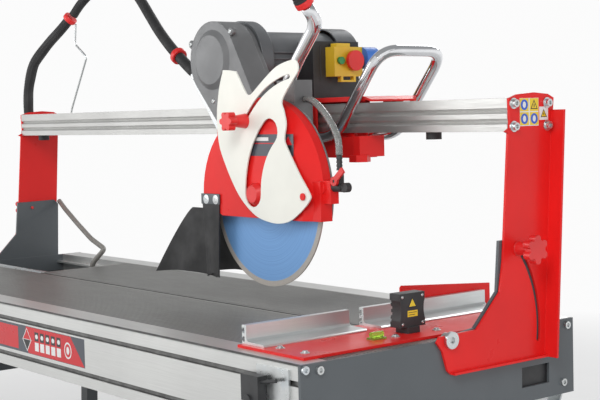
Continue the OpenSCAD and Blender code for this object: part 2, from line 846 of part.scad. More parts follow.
handle_path = [[-14, 40, 172], [50, 40, 268], [121, 40, 345], [121, 12, 378]];
grip_lean = 40.5;
module handle_tube() { at_head() color("#c9ccce") tube(rounded(handle_path, 14, 4), 13, [0.5, 1, -0.6], 12); }

module handle_grip() {
    at_head() translate([121, 12, 378]) rotate([grip_lean, 0, 0]) {
        color("#7e1018") cylinder(10, r = 19);
        color(black) translate([0, 0, 10]) {
            cylinder(112, r1 = 16.5, r2 = 15);
            cylinder(6, r = 18);
            translate([0, 0, 112]) sphere(15);
        }
    }
}

module water_valve() {
    at_head() {
        color(black) {
            translate([206.3, 2, 30]) rotate([0, 90, 0]) cylinder(24, r = 9);
            translate([222, 2, 30]) cylinder(24, r = 8);
            translate([222, 0, 42]) rod_y(-13, 12, 3);
        }
        color(cast_grey) {
            translate([240, 0, 30]) rod_y(-4, 12, 9);
            translate([230.3, 2, 30]) rotate([0, 90, 0]) cylinder(4, r = 7);
        }
        color(zinc) for (i = [0:3]) translate([222, 2, 62 + i * 7]) cylinder(7, r1 = 6.2, r2 = 4.8);
        color("#c8cac6") tube(rounded(water_route, 12, 3), 6.2, [0, 1, 0.1], 10);
    }
}
water_route = [[222, 2, 90], [214, 6, 122], [180, 16, 155], [136, 26, 184], [100, 36, 196], [77, 40, 198]];

module valve_lever() {
    at_head() color(red) translate([222, 0, 42]) {
        difference() {
            union() {
                rod_y(-14, 6, 9);
                translate([0, -14, 0]) rotate([0, 50, 0]) block([-6, 0, 0], [6, 4, 34]);
            }
            rod_y(-15, 9, 3 + gap);
        }
    }
}

plate_pivot = [155, 12];
plate_swing_r = 232;
knob_at = plate_pivot + plate_swing_r * [cos(141), sin(141)];
plate_points = [[-98, 256], [-93, 262], [-55, 258], [-49, 254], [-19, 213], [-6, 210], [3, 214],
    [43, 240], [83, 262], [128, 272], [145, 268], [147, 250], [128, 231], [96, 196], [101, 176],
    [107, 150], [101, 122], [110, 103], [145, 54], [173, 20], [174, 6], [148, -16], [113, -36],
    [78, -43], [43, -41], [3, -31], [-37, -6], [-67, 25], [-97, 70], [-117, 112], [-122, 168],
    [-112, 222]];
module guard_plate() {
    at_head() {
        color(cream) along_y(guard_front - 8, 3) difference() {
            polygon(smooth_loop(plate_points, 4));
            translate(plate_pivot) {
                arc_slot2d(plate_swing_r, 9, 99, 141.5);
                arc_slot2d(160, 52, 129, 180);
                circle(4 + gap);
            }
        }
    }
}

module guard_knob() {
    at_head() translate([knob_at[0], 0, knob_at[1]]) {
        color(zinc) rod_y(guard_front - 12, 26, 4);
        color(red) translate([0, guard_front - 8.3, 0]) rotate([90, 0, 0]) star_knob(6, 20, 32, 16, 15);
    }
}

placed() front_profile();
placed() back_profile();
placed() end_plate_right();
placed() end_plate_left();
placed() table_front();
placed() table_back();
placed() trough_bar();
placed() water_tank();
placed() drain_plug();
placed() pump();
placed() pump_hose();
placed() fence_base();
placed() front_fence();
placed() back_fence();
placed() fence_bracket();
placed() spirit_level();
placed() laser_module();
placed() chassis_bolts();
placed() pivot_pins();
placed() leg_brackets();
placed() leg_latches();
placed() leg_right();
placed() leg_left();
placed() feet();
placed() wheels();
placed() column_right();
placed() column_left();
placed() rail();
placed() rail_bolts();
placed() rail_bumpers();
placed() hose_hanger();
placed() conduit_lower();
placed() tilt_knob_right();
placed() tilt_knob_left();
placed() carriage_frame();
placed() loop_handle();
placed() hose_arm();
placed() conduit_arch();
placed() motor();
placed() fan_cover();
placed() terminal_box();
placed() switch_box();
placed() stop_button();
placed() start_button();
placed() power_inlet();
placed() belt_cover();
placed() head_arm();
placed() drive_belt();
placed() motor_pulley();
placed() blade_guard();
placed() guard_back_plate();
placed() arbor_cap();
placed() splash_flaps();
placed() handle_tube();
placed() handle_grip();
placed() water_valve();
placed() valve_lever();
placed() guard_plate();
placed() guard_knob();
placed() blade_spindle();
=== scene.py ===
"""Looks of the bridge wet tile saw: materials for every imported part, smooth tubes, rubber flaps,
plain labels and small fittings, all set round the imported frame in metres."""

import json
import math
import bpy
from mathutils import Matrix, Vector


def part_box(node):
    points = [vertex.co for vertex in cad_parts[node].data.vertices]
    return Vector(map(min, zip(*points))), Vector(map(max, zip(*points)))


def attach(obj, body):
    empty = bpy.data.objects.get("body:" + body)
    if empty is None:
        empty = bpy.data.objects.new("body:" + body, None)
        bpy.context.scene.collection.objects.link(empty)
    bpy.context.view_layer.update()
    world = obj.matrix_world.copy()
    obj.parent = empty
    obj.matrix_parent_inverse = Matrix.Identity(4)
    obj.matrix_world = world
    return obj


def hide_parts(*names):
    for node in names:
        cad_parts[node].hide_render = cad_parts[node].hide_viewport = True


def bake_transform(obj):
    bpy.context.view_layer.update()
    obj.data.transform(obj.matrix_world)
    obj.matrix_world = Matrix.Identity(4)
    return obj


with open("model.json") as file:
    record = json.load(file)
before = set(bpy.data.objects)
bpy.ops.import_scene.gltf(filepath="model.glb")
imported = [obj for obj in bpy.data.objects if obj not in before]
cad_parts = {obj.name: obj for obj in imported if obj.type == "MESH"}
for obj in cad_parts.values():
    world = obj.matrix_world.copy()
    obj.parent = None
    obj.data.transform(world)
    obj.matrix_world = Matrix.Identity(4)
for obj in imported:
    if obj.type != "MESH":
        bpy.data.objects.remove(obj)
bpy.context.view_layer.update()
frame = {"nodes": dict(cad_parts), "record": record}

# ---------------------------------------------------------------- places

MM = 0.001
TABLE_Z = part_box("fence_base")[0].z
CUT_Y = -0.0195
BLADE = (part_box("blade_spindle")[0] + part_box("blade_spindle")[1]) / 2
BLADE.y = CUT_Y


def at_table(x, y, z):
    """A point given in millimetres from the chassis middle, the cutting line and the table's top."""
    return Vector((x * MM, y * MM + CUT_Y, z * MM + TABLE_Z))


def at_head(x, y, z):
    """A point given in millimetres from the blade's centre."""
    return BLADE + Vector((x, y, z)) * MM


# ---------------------------------------------------------------- materials

class Recipe:
    """A node tree that is built up piece by piece round one Principled shader."""

    def __init__(self, name):
        self.material = bpy.data.materials.new(name)
        self.material.use_nodes = True
        self.nodes = self.material.node_tree.nodes
        self.links = self.material.node_tree.links
        self.shader = self.nodes["Principled BSDF"]
        self.place = self.nodes.new("ShaderNodeTexCoord").outputs["Object"]

    def stretched(self, scale):
        node = self.nodes.new("ShaderNodeMapping")
        node.inputs["Scale"].default_value = scale
        self.links.new(self.place, node.inputs["Vector"])
        return node.outputs["Vector"]

    def noise(self, scale, detail=4.0, stretch=(1, 1, 1)):
        node = self.nodes.new("ShaderNodeTexNoise")
        node.inputs["Scale"].default_value = scale
        node.inputs["Detail"].default_value = detail
        self.links.new(self.stretched(stretch), node.inputs["Vector"])
        return node.outputs["Fac"]

    def sums(self, operation, a, b):
        node = self.nodes.new("ShaderNodeMath")
        node.operation = operation
        for socket, value in zip(node.inputs, (a, b)):
            if isinstance(value, (int, float)):
                socket.default_value = value
            else:
                self.links.new(value, socket)
        return node.outputs[0]

    def ramp(self, factor, stops):
        node = self.nodes.new("ShaderNodeValToRGB")
        stop_list = node.color_ramp.elements
        while len(stop_list) < len(stops):
            stop_list.new(0.5)
        for stop, (where, colour) in zip(stop_list, stops):
            stop.position = where
            stop.color = (*colour, 1)
        self.links.new(factor, node.inputs["Fac"])
        return node.outputs["Color"]

    def span(self, factor, low, high, start=0.3, end=0.7):
        node = self.nodes.new("ShaderNodeMapRange")
        node.inputs["From Min"].default_value = start
        node.inputs["From Max"].default_value = end
        node.inputs["To Min"].default_value = low
        node.inputs["To Max"].default_value = high
        self.links.new(factor, node.inputs["Value"])
        return node.outputs["Result"]

    def mixed(self, factor, a, b):
        node = self.nodes.new("ShaderNodeMix")
        node.data_type = "RGBA"
        self.links.new(factor, node.inputs["Factor"])
        for socket, value in ((node.inputs[6], a), (node.inputs[7], b)):
            if isinstance(value, tuple):
                socket.default_value = (*value, 1)
            else:
                self.links.new(value, socket)
        return node.outputs[2]

    def edges(self, radius):
        """1 on edges of the shape and 0 on its faces, together with the rounded normal."""
        bevel = self.nodes.new("ShaderNodeBevel")
        bevel.samples = 4
        bevel.inputs["Radius"].default_value = radius
        geometry = self.nodes.new("ShaderNodeNewGeometry")
        dot = self.nodes.new("ShaderNodeVectorMath")
        dot.operation = "DOT_PRODUCT"
        self.links.new(bevel.outputs["Normal"], dot.inputs[0])
        self.links.new(geometry.outputs["Normal"], dot.inputs[1])
        return self.span(dot.outputs["Value"], 1.0, 0.0, 0.72, 0.97), bevel.outputs["Normal"]

    def distance(self, centre, flatten=(1, 1, 1)):
        """How far a point is from a centre, in metres, after scaling each axis."""
        gap = self.nodes.new("ShaderNodeVectorMath")
        gap.operation = "SUBTRACT"
        self.links.new(self.place, gap.inputs[0])
        gap.inputs[1].default_value = centre
        flat = self.nodes.new("ShaderNodeVectorMath")
        flat.operation = "MULTIPLY"
        self.links.new(gap.outputs[0], flat.inputs[0])
        flat.inputs[1].default_value = flatten
        length = self.nodes.new("ShaderNodeVectorMath")
        length.operation = "LENGTH"
        self.links.new(flat.outputs[0], length.inputs[0])
        return length.outputs["Value"]

    def colour(self, socket):
        self.links.new(socket, self.shader.inputs["Base Color"])

    def roughness(self, socket):
        self.links.new(socket, self.shader.inputs["Roughness"])

    def bump(self, height, strength, depth, normal=None):
        node = self.nodes.new("ShaderNodeBump")
        node.inputs["Strength"].default_value = strength
        node.inputs["Distance"].default_value = depth
        self.links.new(height, node.inputs["Height"])
        if normal is not None:
            self.links.new(normal, node.inputs["Normal"])
        self.links.new(node.outputs["Normal"], self.shader.inputs["Normal"])

    def set(self, **values):
        for name, value in values.items():
            self.shader.inputs[name.replace("_", " ")].default_value = value

    def brought_in(self, material):
        """Copies another material's nodes into this tree and returns its shader output."""
        twins = {}
        for node in material.node_tree.nodes:
            if node.bl_idname == "ShaderNodeOutputMaterial":
                continue
            twin = self.nodes.new(node.bl_idname)
            for key in ("operation", "noise_dimensions", "data_type", "samples"):
                if hasattr(node, key):
                    setattr(twin, key, getattr(node, key))
            for ours, theirs in zip(twin.inputs, node.inputs):
                if hasattr(theirs, "default_value") and not theirs.is_linked:
                    ours.default_value = theirs.default_value
            if node.bl_idname == "ShaderNodeValToRGB":
                stops = twin.color_ramp.elements
                while len(stops) < len(node.color_ramp.elements):
                    stops.new(0.5)
                for ours, theirs in zip(stops, node.color_ramp.elements):
                    ours.position = theirs.position
                    ours.color = theirs.color
            twins[node] = twin
        for link in material.node_tree.links:
            if link.to_node in twins:
                source = list(link.from_node.outputs).index(link.from_socket)
                target = list(link.to_node.inputs).index(link.to_socket)
                self.links.new(twins[link.from_node].outputs[source], twins[link.to_node].inputs[target])
        return twins[material.node_tree.nodes["Principled BSDF"]].outputs["BSDF"]


# Radii that the shading rounds edges by, in metres
SOFT_EDGE = 0.0012
METAL_EDGE = 0.0008
CAST_EDGE = 0.002
EXTRUDED_EDGE = 0.0005
LABEL_EDGE = 0.0002

# The blade's bare rim starts here, and its steel flange ends here
RIM_RADIUS = 0.164
FLANGE_RADIUS = 0.032


def shade(colour, amount):
    return tuple(min(1.0, max(0.0, c * amount)) for c in colour)


def painted(name, colour, rough=(0.26, 0.38), grain=900, depth=0.00006, bare=None, coat=0.12,
            shine=0.35, edge=SOFT_EDGE):
    """Powder coat or enamel: orange peel, faint dust, thin paint on the edges."""
    r = Recipe(name)
    wear, rounded = r.edges(edge)
    blotch = r.ramp(r.noise(5), ((0.3, shade(colour, 0.90)), (0.7, shade(colour, 1.07))))
    worn = r.sums("MULTIPLY", wear, r.span(r.noise(90, 6), 0.15, 0.75))
    r.colour(r.mixed(worn, blotch, bare or tuple(min(1.0, c * 1.25 + 0.03) for c in colour)))
    r.roughness(r.span(r.noise(14, 5), rough[0], rough[1]))
    r.bump(r.noise(grain, 2), 0.35, depth, rounded)
    r.set(Coat_Weight=coat, Coat_Roughness=0.12, Specular_IOR_Level=shine)
    return r.material


def metal(name, colour, stretch, grain, rough, metallic):
    """Bare metal: drawn or brushed lines when the noise is stretched, and clouded polish."""
    r = Recipe(name)
    wear, rounded = r.edges(METAL_EDGE)
    lines = r.noise(grain, 5, stretch)
    cloud = r.ramp(r.noise(7), ((0.3, shade(colour, 0.93)), (0.7, shade(colour, 1.05))))
    scratched = r.mixed(r.span(lines, 0.0, 0.35), cloud, shade(colour, 0.82))
    r.colour(r.mixed(r.sums("MULTIPLY", wear, 0.4), scratched, shade(colour, 1.2)))
    r.roughness(r.span(lines, rough[0], rough[1]))
    r.bump(lines, 0.25, 0.00003, rounded)
    r.set(Metallic=metallic)
    return r.material


def spangled(name, colour):
    """Bright zinc plate with its pale yellow and blue clouds."""
    r = Recipe(name)
    wear, rounded = r.edges(METAL_EDGE)
    tint = r.ramp(r.noise(22, 3), ((0.25, shade(colour, 0.85)), (0.5, colour),
                                   (0.75, (colour[0] * 0.95, colour[1], min(1, colour[2] * 1.06)))))
    r.colour(r.mixed(r.sums("MULTIPLY", wear, 0.35), tint, (0.86, 0.87, 0.88)))
    r.roughness(r.span(r.noise(60, 6), 0.2, 0.42))
    r.bump(r.noise(500, 3), 0.15, 0.00003, rounded)
    r.set(Metallic=0.95)
    return r.material


def moulded(name, colour, rough=(0.42, 0.58), depth=0.00009, grain=1400, coat=0.0, dust=0.10):
    """Moulded plastic or rubber: a fine eroded texture, scuffed edges and a little dust."""
    r = Recipe(name)
    wear, rounded = r.edges(SOFT_EDGE)
    base = r.ramp(r.noise(9, 4), ((0.3, shade(colour, 0.86)), (0.7, shade(colour, 1.12))))
    dusty = r.sums("MULTIPLY", r.span(r.noise(30, 7), 0.0, 1.0, 0.45, 0.8), dust)
    scuffed = r.sums("ADD", r.sums("MULTIPLY", wear, 0.22), dusty)
    r.colour(r.mixed(scuffed, base, tuple(c * 0.8 + 0.16 for c in colour)))
    r.roughness(r.span(r.noise(25, 4), rough[0], rough[1]))
    r.bump(r.noise(grain, 3), 0.45, depth, rounded)
    r.set(Coat_Weight=coat, Coat_Roughness=0.1)
    return r.material


def cast(name, colour, metallic=0.35):
    """Painted die casting: soft sand-like bumps under a thin grey paint."""
    r = Recipe(name)
    wear, rounded = r.edges(CAST_EDGE)
    base = r.ramp(r.noise(11, 5), ((0.3, shade(colour, 0.87)), (0.7, shade(colour, 1.1))))
    r.colour(r.mixed(r.sums("MULTIPLY", wear, r.span(r.noise(70, 5), 0.1, 0.6)), base, (0.5, 0.5, 0.5)))
    r.roughness(r.span(r.noise(20, 5), 0.38, 0.55))
    r.bump(r.noise(420, 4), 0.4, 0.00022, rounded)
    r.set(Metallic=metallic, Coat_Weight=0.1, Coat_Roughness=0.3)
    return r.material


def grooved(name, colour, stretch, band, dark):
    """Extruded metal with painted shade in its grooves, where every band's mask is full. band gives
    (centre, axis, near, far) in metres.
    """
    r = Recipe(name)
    wear, rounded = r.edges(EXTRUDED_EDGE)
    lines = r.noise(600, 5, stretch)
    cloud = r.ramp(r.noise(4), ((0.3, shade(colour, 0.93)), (0.7, shade(colour, 1.06))))
    clean = r.mixed(r.span(lines, 0.0, 0.3), cloud, shade(colour, 0.8))
    depth = None
    for centre, axis, near, far in band:
        part = r.span(r.distance(centre, axis), 0.0, 1.0, near, far)
        depth = part if depth is None else r.sums("MULTIPLY", depth, part)
    # Painted shade: the dark colour goes where every band's mask is full, varied a little by noise.
    groove_shade = r.sums("MULTIPLY", depth, r.span(r.noise(35, 6), 0.8, 1.0))
    bright = r.mixed(r.sums("MULTIPLY", wear, 0.35), clean, shade(colour, 1.3))
    r.colour(r.mixed(groove_shade, bright, dark))
    r.roughness(r.span(lines, 0.32, 0.5))
    r.bump(lines, 0.25, 0.00003, rounded)
    r.set(Metallic=0.7)
    return r.material


def blade_finish():
    """Blue blade body with turned arcs, a bare segment rim and a steel flange."""
    r = Recipe("blade_finish")
    out = r.distance(tuple(BLADE), (1, 0, 1))
    rim = r.span(out, 0.0, 1.0, RIM_RADIUS - 0.0003, RIM_RADIUS + 0.0003)
    hub = r.span(out, 1.0, 0.0, FLANGE_RADIUS - 0.0005, FLANGE_RADIUS + 0.0005)
    arcs = r.nodes.new("ShaderNodeTexNoise")
    arcs.noise_dimensions = "1D"
    arcs.inputs["Scale"].default_value = 420
    arcs.inputs["Detail"].default_value = 3
    r.links.new(out, arcs.inputs["W"])
    blue = r.ramp(arcs.outputs["Fac"], ((0.35, (0.135, 0.30, 0.60)), (0.65, (0.185, 0.385, 0.69))))
    cloud = r.mixed(r.span(r.noise(12), 0.0, 0.35), blue, (0.15, 0.33, 0.64))
    grit = r.ramp(r.noise(900, 5), ((0.3, (0.30, 0.27, 0.24)), (0.7, (0.52, 0.49, 0.45))))
    steel = r.ramp(r.noise(200), ((0.3, (0.45, 0.46, 0.47)), (0.7, (0.66, 0.67, 0.68))))
    r.colour(r.mixed(hub, r.mixed(rim, cloud, grit), steel))
    r.roughness(r.span(arcs.outputs["Fac"], 0.34, 0.5))
    r.bump(arcs.outputs["Fac"], 0.12, 0.00003)
    r.set(Metallic=0.25)
    return r.material


def clear_plastic(name, colour, rough=0.12):
    """Clear hose or vial with faint milky clouds."""
    r = Recipe(name)
    r.colour(r.ramp(r.noise(60, 3), ((0.3, shade(colour, 0.9)), (0.7, colour))))
    r.roughness(r.span(r.noise(90), rough, rough + 0.12))
    r.bump(r.noise(300, 2), 0.2, 0.0001)
    r.set(Transmission_Weight=0.72, IOR=1.45)
    return r.material


def zoned(name, inside, outside, centre, reach, flatten=(1, 1, 1)):
    """One part in two finishes: the first within reach of a centre, and the second beyond it."""
    r = Recipe(name)
    near = r.span(r.distance(tuple(centre), flatten), 1.0, 0.0, reach - 0.0002, reach + 0.0002)
    mix = r.nodes.new("ShaderNodeMixShader")
    r.links.new(near, mix.inputs["Fac"])
    output = r.nodes["Material Output"]
    for finish, socket in ((outside, mix.inputs[1]), (inside, mix.inputs[2])):
        r.links.new(r.brought_in(finish), socket)
    r.links.new(mix.outputs[0], output.inputs["Surface"])
    r.nodes.remove(r.shader)
    return r.material


RED = (0.80, 0.017, 0.016)
ALONG_X = (0.02, 1, 1)
ALONG_Y = (1, 0.02, 1)
FINISH = {
    "profile_aluminium": metal("profile_aluminium", (0.74, 0.745, 0.73), ALONG_X, 700, (0.34, 0.5), 0.8),
    # The table's top gets a dark grey as a painted reflection of dark surroundings. Everything more than
    # 2.2 mm under the top is near black as painted shade in the grooves.
    "table_aluminium": grooved("table_aluminium", (0.30, 0.30, 0.29), ALONG_X,
                               [((0, 0, TABLE_Z), (0, 0, 1), 0.0006, 0.0022)], (0.045, 0.045, 0.044)),
    "fence_aluminium": metal("fence_aluminium", (0.72, 0.75, 0.75), ALONG_Y, 700, (0.28, 0.42), 0.8),
    "rail_aluminium": metal("rail_aluminium", (0.60, 0.60, 0.585), ALONG_X, 800, (0.3, 0.46), 0.85),
    "red_paint": painted("red_paint", RED, coat=0.05, shine=0.22),
    "dark_grey_paint": painted("dark_grey_paint", (0.105, 0.118, 0.128), (0.36, 0.5), coat=0.15),
    "zinc_steel": spangled("zinc_steel", (0.66, 0.68, 0.68)),
    "chrome": metal("chrome", (0.80, 0.81, 0.83), (1, 1, 1), 40, (0.06, 0.16), 1.0),
    "leg_paint": painted("leg_paint", (0.045, 0.05, 0.055), (0.34, 0.5), coat=0.1),
    "black_plastic": moulded("black_plastic", (0.028, 0.029, 0.031)),
    "black_rubber": moulded("black_rubber", (0.022, 0.022, 0.023), (0.55, 0.75), 0.00014, 900),
    "grey_hose": moulded("grey_hose", (0.27, 0.26, 0.24), (0.38, 0.5), 0.00005, 700),
    "cast_aluminium": cast("cast_aluminium", (0.19, 0.193, 0.197)),
    "motor_paint": cast("motor_paint", (0.13, 0.137, 0.145), 0.25),
    "cream_steel": painted("cream_steel", (0.87, 0.87, 0.80), (0.3, 0.44), 600, 0.00003,
                           (0.9, 0.89, 0.85), 0.1),
    "blade_paint": blade_finish(),
    "yellow_plastic": moulded("yellow_plastic", (0.80, 0.53, 0.03), (0.35, 0.48), coat=0.15, dust=0.04),
    "red_plastic": moulded("red_plastic", (0.76, 0.020, 0.020), (0.28, 0.42), 0.00005, coat=0.1, dust=0.02),
    "green_plastic": moulded("green_plastic", (0.03, 0.30, 0.08), (0.3, 0.45), coat=0.2, dust=0.03),
    "blue_plastic": moulded("blue_plastic", (0.045, 0.18, 0.60), (0.32, 0.45), coat=0.15, dust=0.03),
    "level_vial": clear_plastic("level_vial", (0.62, 0.95, 0.12)),
}
CLEAR_HOSE = clear_plastic("clear_hose", (0.80, 0.81, 0.78), 0.18)
INKS = {
    "slate": ((0.075, 0.085, 0.105), (0.3, 0.4)),
    "red": ((0.62, 0.012, 0.02), (0.25, 0.35)),
    "white": ((0.80, 0.80, 0.79), (0.3, 0.4)),
    "yellow": ((0.85, 0.62, 0.03), (0.3, 0.4)),
    "blue": ((0.04, 0.13, 0.62), (0.3, 0.4)),
    "black": ((0.02, 0.02, 0.022), (0.35, 0.45)),
}
PAPER = {ink: painted("label_" + ink, colour, rough, 600, 0.00002, edge=LABEL_EDGE)
         for ink, (colour, rough) in INKS.items()}

WHEEL_CENTRE = (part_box("wheels")[0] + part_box("wheels")[1]) / 2
GRIP_FOOT = at_head(121, 12, 378)
PROFILE_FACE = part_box("front_profile")[0].y
OWN_FINISH = {
    # The front profile's groove recesses, about 1.5 to 6.5 mm behind its front face, are painted dark as
    # shade.
    "front_profile": grooved("front_profile_with_groove_shade", (0.66, 0.665, 0.65), ALONG_X,
                             [((0, PROFILE_FACE, 0), (0, 1, 0), 0.0008, 0.0014),
                              ((0, PROFILE_FACE + 0.004, 0), (0, 1, 0), 0.0026, 0.0024)],
                             (0.10, 0.10, 0.098)),
    "wheels": zoned("wheel_finish", FINISH["dark_grey_paint"], FINISH["black_rubber"], WHEEL_CENTRE,
                    0.036, (1, 0, 1)),
    "handle_grip": zoned("grip_finish", FINISH["red_plastic"], FINISH["black_rubber"], GRIP_FOOT, 0.0216),
    "fence_base": zoned("fence_base_finish", FINISH["red_paint"], FINISH["zinc_steel"],
                        (0, 0, TABLE_Z), 0.0052, (0, 0, 1)),
}


def dress():
    """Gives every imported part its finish."""
    slots = {part["node"]: part["material_slot"] for part in frame["record"]["subparts"]}
    for name, part in frame["nodes"].items():
        finish = OWN_FINISH.get(name) or FINISH[slots[name]]
        for socket in part.material_slots:
            socket.material = finish


dress()

# ---------------------------------------------------------------- mesh helpers

def new_mesh(name, points, faces, materials, smooth=False, face_materials=None):
    mesh = bpy.data.meshes.new(name)
    mesh.from_pydata([tuple(p) for p in points], [], faces)
    for material in materials:
        mesh.materials.append(material)
    for index, face in enumerate(mesh.polygons):
        face.use_smooth = smooth
        if face_materials:
            face.material_index = face_materials[index]
    mesh.validate()
    mesh.update()
    obj = bpy.data.objects.new(name, mesh)
    bpy.context.scene.collection.objects.link(obj)
    return obj


def softened(route, corner, steps=10):
    """The route with its corners rounded by quadratic curves."""
    path = [route[0]]
    for before, here, after in zip(route, route[1:], route[2:]):
        a = here + (before - here).normalized() * corner
        b = here + (after - here).normalized() * corner
        for i in range(steps + 1):
            t = i / steps
            path.append(a * (1 - t) ** 2 + here * 2 * t * (1 - t) + b * t ** 2)
    return path + [route[-1]]


def flowing(route, step=0.004):
    """Points at an even spacing on a smooth curve through the route."""
    ends = [route[0] * 2 - route[1]] + route + [route[-1] * 2 - route[-2]]
    path = []
    for a, b, c, d in zip(ends, ends[1:], ends[2:], ends[3:]):
        count = max(2, round((c - b).length / step))
        for i in range(count):
            t = i / count
            path.append(0.5 * (2 * b + (c - a) * t + (2 * a - 5 * b + 4 * c - d) * t * t
                               + (3 * b - a - 3 * c + d) * t ** 3))
    return path + [route[-1]]


def tube(name, path, radius, material, sides, ribs=0.0):
    """A closed round tube along the path. ribs is the depth of the rings moulded into a conduit."""
    heading = (path[1] - path[0]).normalized()
    side = heading.orthogonal().normalized()
    points = []
    for i, centre in enumerate(path):
        heading = (path[min(i + 1, len(path) - 1)] - path[max(i - 1, 0)]).normalized()
        side = (side - heading * side.dot(heading)).normalized()
        other = heading.cross(side)
        size = radius - (ribs if i % 2 else 0.0)
        for k in range(sides):
            turn = 2 * math.pi * k / sides
            points.append(centre + side * math.cos(turn) * size + other * math.sin(turn) * size)
    faces = []
    for i in range(len(path) - 1):
        for k in range(sides):
            n = (k + 1) % sides
            faces.append((i * sides + k, i * sides + n, (i + 1) * sides + n, (i + 1) * sides + k))
    faces.append(tuple(range(sides - 1, -1, -1)))
    faces.append(tuple((len(path) - 1) * sides + k for k in range(sides)))
    return new_mesh(name, points, faces, [material], smooth=True)


def lathe(name, foot, axis, profile, material, sides=32):
    """A turned piece: profile gives (distance along the axis, radius) pairs in metres."""
    axis = axis.normalized()
    side = axis.orthogonal().normalized()
    other = axis.cross(side)
    points = []
    for along, radius in profile:
        for k in range(sides):
            turn = 2 * math.pi * k / sides
            points.append(foot + axis * along + (side * math.cos(turn) + other * math.sin(turn)) * radius)
    faces = []
    for i in range(len(profile) - 1):
        for k in range(sides):
            n = (k + 1) % sides
            faces.append((i * sides + k, i * sides + n, (i + 1) * sides + n, (i + 1) * sides + k))
    faces.append(tuple(range(sides - 1, -1, -1)))
    faces.append(tuple((len(profile) - 1) * sides + k for k in range(sides)))
    obj = new_mesh(name, points, faces, [material], smooth=True)
    split = obj.modifiers.new("edges", "EDGE_SPLIT")
    split.split_angle = math.radians(35)
    return obj


def ring(radius_x, radius_z, centre, sides=24):
    turns = [2 * math.pi * k / sides for k in range(sides)]
    return [(centre[0] + radius_x * math.cos(t), centre[1] + radius_z * math.sin(t)) for t in turns]


def oblong(x0, z0, x1, z1):
    return [(x0, z0), (x1, z0), (x1, z1), (x0, z1)]


def label(name, origin, right, up, shapes, body):
    """A printed sheet made of thin raised shapes. Each shape is (outline in mm, colour, layer)."""
    out = right.cross(up).normalized()
    points, faces, colours, papers = [], [], [], []
    for outline, colour, layer in shapes:
        if PAPER[colour] not in papers:
            papers.append(PAPER[colour])
        base = len(points)
        count = len(outline)
        for lift in (-0.05, 0.14 + 0.05 * layer):
            points += [origin + (right * a + up * b + out * lift) * MM for a, b in outline]
        faces.append(tuple(base + count + k for k in range(count)))
        faces.append(tuple(base + k for k in range(count - 1, -1, -1)))
        for k in range(count):
            n = (k + 1) % count
            faces.append((base + k, base + n, base + count + n, base + count + k))
        colours += [papers.index(PAPER[colour])] * (count + 2)
    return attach(new_mesh(name, points, faces, papers, face_materials=colours), body)


def cap_screw(name, place, axis, radius, body, high):
    """A domed screw head with a round socket, as one turned mesh."""
    profile = [(0, radius), (high * 0.35, radius), (high * 0.75, radius * 0.86), (high, radius * 0.55),
               (high, radius * 0.42), (high * 0.35, radius * 0.40), (high * 0.35, radius * 0.02)]
    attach(lathe(name, place, axis, profile, FINISH["zinc_steel"], 24), body)


RIGHT, BACK, UP = Vector((1, 0, 0)), Vector((0, 1, 0)), Vector((0, 0, 1))
FRONT = -BACK

# ---------------------------------------------------------------- hoses and tubes

LOWER_ROUTE = [at_table(*p) for p in (
    (-962, 225, 180), (-962, 215, 260), (-966, 205, 340), (-973, 200, 419), (-973, 203, 488),
    (-951, 212, 560), (-903, 238, 618), (-865, 256, 652), (-832, 270, 683))]
ARCH_ROUTE = [at_table(*p) for p in (
    (-822, 276, 693), (-794, 285, 722), (-745, 290, 748), (-680, 288, 764), (-600, 275, 767),
    (-510, 250, 757), (-420, 222, 734), (-325, 190, 694), (-255, 174, 646), (-191, 160, 602),
    (-110, 142, 556), (-21, 131, 506), (16, 131, 484), (60, 132, 436), (108, 132, 376))]
HANDLE_ROUTE = [at_head(*p) for p in ((-14, 40, 172), (50, 40, 268), (121, 40, 345), (121, 12, 378))]
WATER_ROUTE = [at_head(*p) for p in ((222, 2, 90), (214, 6, 122), (180, 16, 155), (136, 26, 184),
                                     (100, 36, 196), (77, 40, 198))]
LOOP_ROUTE = [at_table(*p) for p in (
    (300, 131, 345), (496, 131, 345), (636, 131, 513), (636, 302, 513), (496, 302, 345), (300, 302, 345))]


# Radii, and the depth and spacing of the conduit's rings, in metres
CONDUIT_RADIUS = 0.014
ARCH_RADIUS = 0.0129
RIB_DEPTH = 0.0011
RIB_STEP = 0.0022
HANDLE_RADIUS = 0.0133
LOOP_RADIUS = 0.0113
WATER_HOSE_RADIUS = 0.0066
CLIP_PROFILE = [(-0.001, 0.0148), (-0.001, 0.0185), (0.001, 0.0198), (0.011, 0.0198), (0.013, 0.0185),
                (0.013, 0.0148)]


def conduits():
    rubber = FINISH["black_rubber"]
    lower = tube("conduit_lower_ribbed", flowing(LOWER_ROUTE, RIB_STEP), CONDUIT_RADIUS, rubber,
                 28, RIB_DEPTH)
    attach(lower, "bridge")
    arch = tube("conduit_arch_ribbed", flowing(ARCH_ROUTE, RIB_STEP), ARCH_RADIUS, rubber, 28, RIB_DEPTH)
    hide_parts("conduit_arch")
    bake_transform(arch)


def handles():
    bar = tube("handle_tube_chrome", softened(HANDLE_ROUTE, 0.024), HANDLE_RADIUS, FINISH["chrome"], 40)
    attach(bar, "head")
    loop = tube("loop_handle_chrome", softened(LOOP_ROUTE, 0.046, 14), LOOP_RADIUS, FINISH["chrome"], 40)
    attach(loop, "carriage")


def water_hose():
    hose = tube("water_hose_clear", flowing(WATER_ROUTE), WATER_HOSE_RADIUS, CLEAR_HOSE, 28)
    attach(hose, "head")


def hose_rings():
    """Red clips that hold the conduit to the hanger and to the arm."""
    for name, foot, tilt, body in (
            ("hanger_clip", at_table(-836, 268, 679), Vector((0.66, 0.34, 0.66)), "bridge"),
            ("arm_clip", at_table(-84, 138, 541), Vector((0.87, 0, -0.5)), "carriage")):
        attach(lathe(name, foot, tilt, CLIP_PROFILE, FINISH["red_plastic"]), body)


conduits()
handles()
water_hose()
hose_rings()

# ---------------------------------------------------------------- rubber flaps

